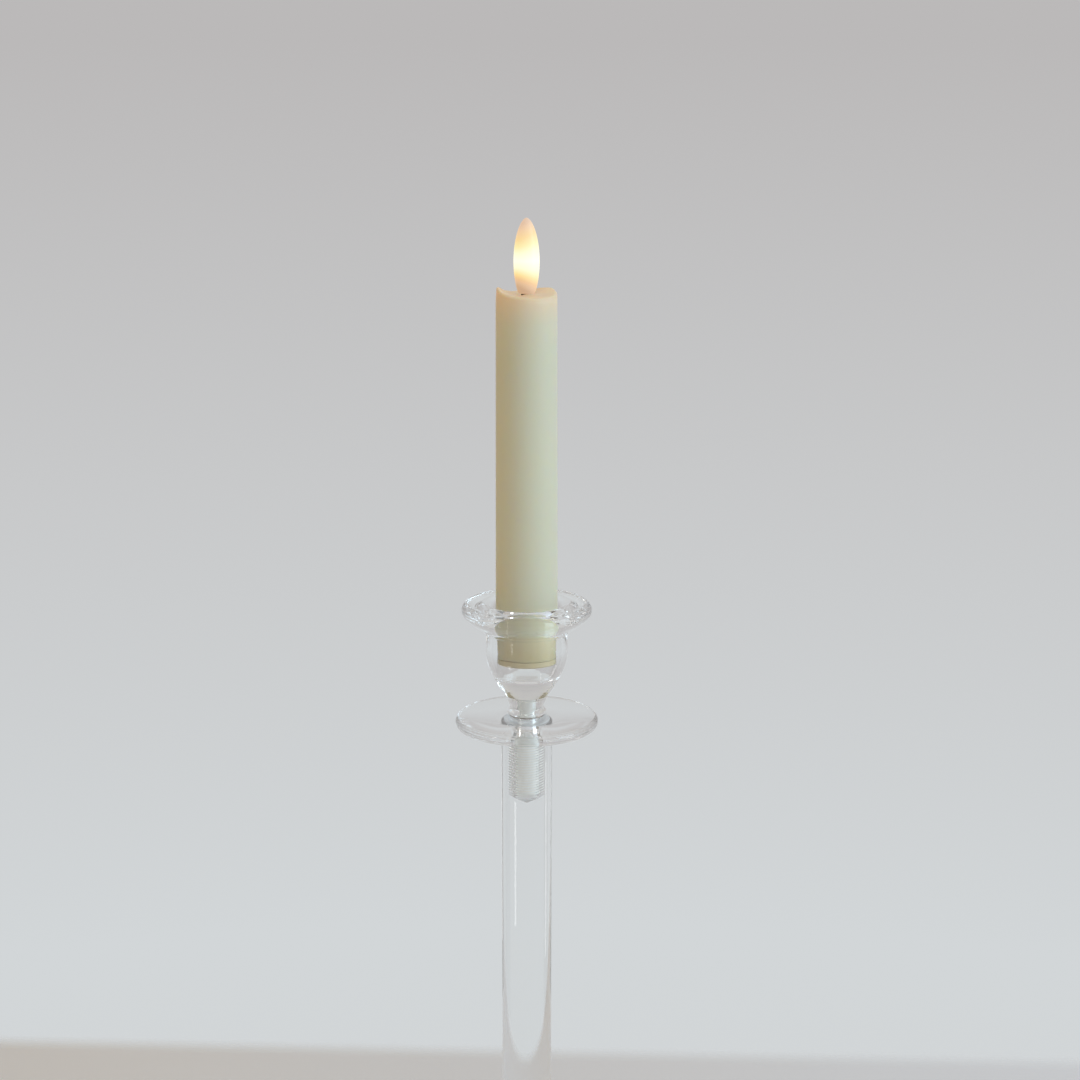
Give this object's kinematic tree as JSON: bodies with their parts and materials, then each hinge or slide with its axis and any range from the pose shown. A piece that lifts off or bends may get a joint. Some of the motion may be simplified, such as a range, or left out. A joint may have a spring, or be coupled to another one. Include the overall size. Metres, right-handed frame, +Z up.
{
  "type": "glass candlestick",
  "caption": "Clear glass candlestick: round foot, tall solid stem, collar disc and flared socket cup, holding a battery taper candle with a lit flame.",
  "frame": {"origin": "centre of the foot pad's underside, where the candlestick stands on the table", "axes": "+Z up along the stem, towards the flame; the object is round about Z; +X is the side that the cap switch is set towards; the picture is taken from -Y"},
  "size_m": [0.092, 0.092, 0.391],
  "materials": {
    "clear_glass": "clear polished",
    "clear_pad": "clear soft pad",
    "clear_washer": "clear",
    "clear_stud": "clear, frosted by its thread",
    "ivory_wax": "satin paraffin wax",
    "ivory_plastic": "satin",
    "white_plastic": "satin",
    "cell_steel": "plated can",
    "contact_brass": "stamped",
    "plated_wire": "nickel plated",
    "board_green": "solder mask",
    "black_plastic": "satin",
    "lamp_lens": "clear lens",
    "flame_plastic": "translucent satin, lit from inside"
  },
  "bodies": {
    "stand": {"foot_pad": "clear_pad", "foot_base": "clear_glass", "lower_washer": "clear_washer", "lower_stud": "clear_stud", "stem_rod": "clear_glass", "upper_washer": "clear_washer"},
    "collar": {"collar_disc": "clear_glass"},
    "cup": {"socket_cup": "clear_glass", "neck_washer": "clear_washer", "upper_stud": "clear_stud"},
    "candle": {"wax_shell": "ivory_wax", "core_tube": "white_plastic", "battery_sleeve": "white_plastic", "battery_upper": "cell_steel", "battery_lower": "cell_steel", "return_strip": "contact_brass", "top_contact": "contact_brass", "circuit_board": "board_green", "driver_chip": "black_plastic", "led": "lamp_lens", "led_leads": "plated_wire", "flame_holder": "white_plastic", "wick_sleeve": "black_plastic", "flame_shell": "flame_plastic"},
    "cap": {"base_cap": "ivory_plastic", "cap_contact": "plated_wire", "contact_spring": "plated_wire", "switch_body": "black_plastic"},
    "switch": {"switch_knob": "black_plastic"}
  },
  "joints": [
    {"name": "collar_rise", "type": "slide", "parent": "stand", "child": "collar", "axis": [0, 0, 1], "range_m": [0, 0.025]},
    {"name": "cup_unscrew", "type": "hinge", "parent": "collar", "child": "cup", "pos_m": [0, 0, 0.2116], "axis": [0, 0, 1], "range_deg": [0, 9005]},
    {"name": "candle_lift", "type": "slide", "parent": "cup", "child": "candle", "axis": [0, 0, 1], "range_m": [0, 0.04]},
    {"name": "cap_twist", "type": "hinge", "parent": "candle", "child": "cap", "pos_m": [0, 0, 0.2368], "axis": [0, 0, 1], "range_deg": [0, 40]},
    {"name": "switch_slide", "type": "slide", "parent": "cap", "child": "switch", "axis": [1, 0, 0], "range_m": [-0.0025, 0]}
  ],
  "couplings": [
    {"joint": "cup_unscrew", "follows": "collar_rise", "rad_per_m": 6283.2}
  ]
}
